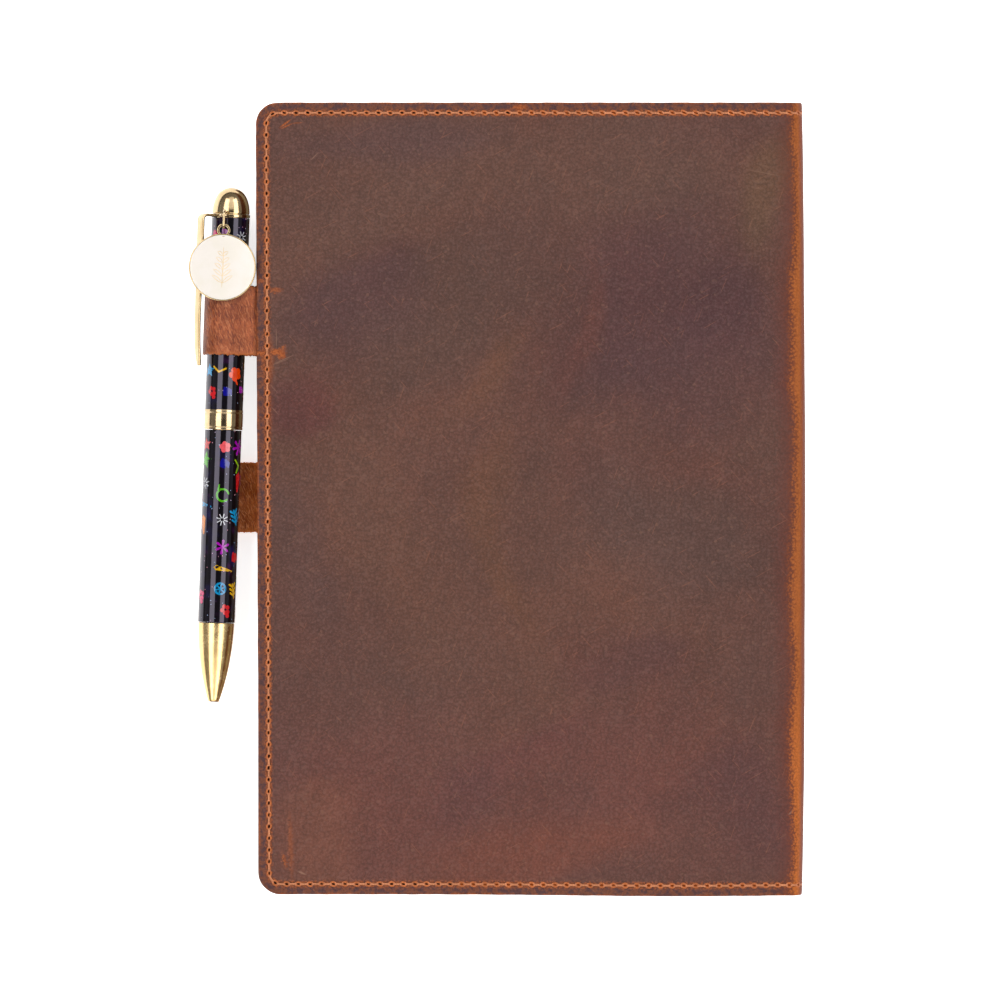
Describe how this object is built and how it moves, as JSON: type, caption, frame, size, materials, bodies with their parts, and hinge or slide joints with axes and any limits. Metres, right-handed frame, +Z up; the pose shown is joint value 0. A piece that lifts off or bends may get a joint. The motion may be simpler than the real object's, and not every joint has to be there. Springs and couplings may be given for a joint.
{
  "type": "leather notebook cover",
  "caption": "Closed leather notebook cover with a stitched border, lying flat, holding a notebook, with a twist pen in a loop at the fore edge and a disc charm on the pen.",
  "frame": {"origin": "middle of the flat outer face of the front cover, which the closed cover lies on", "axes": "+X from the fore edge to the spine, +Y from the foot to the head, +Z up through the thickness"},
  "size_m": [0.171, 0.22, 0.0216],
  "materials": {
    "cover_leather": "mottled dark brown pull-up leather, waxed, soft sheen",
    "pocket_leather": "smooth tan lining leather",
    "loop_leather": "wrinkled tan strap leather with raw edges",
    "seam_thread": "waxed orange-brown thread",
    "notebook_card": "black coated card",
    "page_paper": "ivory writing paper",
    "gold_plate": "polished pale gold plating",
    "pale_gold_plate": "polished champagne plating",
    "black_lacquer": "high gloss black lacquer with small printed flowers",
    "bare_brass": "machined",
    "refill_steel": "drawn tube"
  },
  "bodies": {
    "front_cover": {"front_cover_leather": "cover_leather", "front_inner_pocket": "pocket_leather", "front_seam_thread": "seam_thread", "front_inner_thread": "seam_thread", "lower_pen_loop": "loop_leather", "notebook_front_card": "notebook_card", "front_pastedown": "page_paper", "page_signature_1": "page_paper", "page_signature_2": "page_paper", "page_signature_3": "page_paper"},
    "spine": {"spine_leather": "cover_leather", "spine_thread_head": "seam_thread", "spine_thread_foot": "seam_thread", "notebook_spine_strip": "notebook_card"},
    "back_cover": {"back_cover_leather": "cover_leather", "back_inner_pocket": "pocket_leather", "back_seam_thread": "seam_thread", "back_inner_thread": "seam_thread", "upper_pen_loop": "loop_leather", "notebook_back_card": "notebook_card", "back_pastedown": "page_paper"},
    "pages_upper": {"page_signature_4": "page_paper", "page_signature_5": "page_paper", "page_signature_6": "page_paper"},
    "pen_upper": {"pen_upper_barrel": "black_lacquer", "pen_end_cap": "gold_plate", "pen_clip_collar": "gold_plate", "pen_centre_band": "gold_plate", "twist_mechanism_housing": "bare_brass"},
    "pen_clip": {"pen_clip": "gold_plate"},
    "charm_link": {"charm_link": "gold_plate"},
    "charm_disc": {"charm_disc": "pale_gold_plate"},
    "pen_lower": {"pen_lower_barrel": "black_lacquer", "pen_nose_cone": "gold_plate", "twist_cam": "bare_brass"},
    "refill": {"refill_tube": "refill_steel", "refill_tip": "bare_brass"}
  },
  "joints": [
    {"name": "spine_fold", "type": "hinge", "parent": "front_cover", "child": "spine", "pos_m": [0.0749, 0, 0.0011], "axis": [0, 1, 0], "range_deg": [0, 90]},
    {"name": "cover_opening", "type": "hinge", "parent": "spine", "child": "back_cover", "pos_m": [0.0749, 0, 0.01695], "axis": [0, 1, 0], "range_deg": [0, 90]},
    {"name": "pages_opening", "type": "hinge", "parent": "front_cover", "child": "pages_upper", "pos_m": [0.07235, 0, 0.009], "axis": [0, 1, 0], "range_deg": [0, 180]},
    {"name": "pen_slide", "type": "slide", "parent": "back_cover", "child": "pen_upper", "axis": [0.0356, 0.9994, 0], "range_m": [0, 0.12]},
    {"name": "clip_flex", "type": "hinge", "parent": "pen_upper", "child": "pen_clip", "pos_m": [-0.08783, 0.07874, 0.0148], "axis": [-0.4997, 0.0178, -0.866], "range_deg": [0, 3], "stiffness_Nm_per_rad": 0.3},
    {"name": "charm_lift", "type": "hinge", "parent": "pen_upper", "child": "charm_link", "pos_m": [-0.0851, 0.07864, 0.01988], "axis": [-0.9994, 0.0356, 0], "range_deg": [0, 150]},
    {"name": "charm_swing", "type": "hinge", "parent": "charm_link", "child": "charm_disc", "pos_m": [-0.08523, 0.07509, 0.01988], "axis": [0, 0, 1], "range_deg": [-35, 35]},
    {"name": "pen_twist", "type": "hinge", "parent": "pen_upper", "child": "pen_lower", "pos_m": [-0.08562, 0.01917, 0.0123], "axis": [0.0356, 0.9994, 0], "range_deg": [0, 180]},
    {"name": "refill_extend", "type": "slide", "parent": "pen_lower", "child": "refill", "axis": [-0.0356, -0.9994, 0], "range_m": [0, 0.004]}
  ],
  "couplings": [
    {"joint": "spine_fold", "follows": "cover_opening", "ratio": 1},
    {"joint": "pages_opening", "follows": "cover_opening", "ratio": 2},
    {"joint": "refill_extend", "follows": "pen_twist", "m_per_rad": 0.00127}
  ]
}
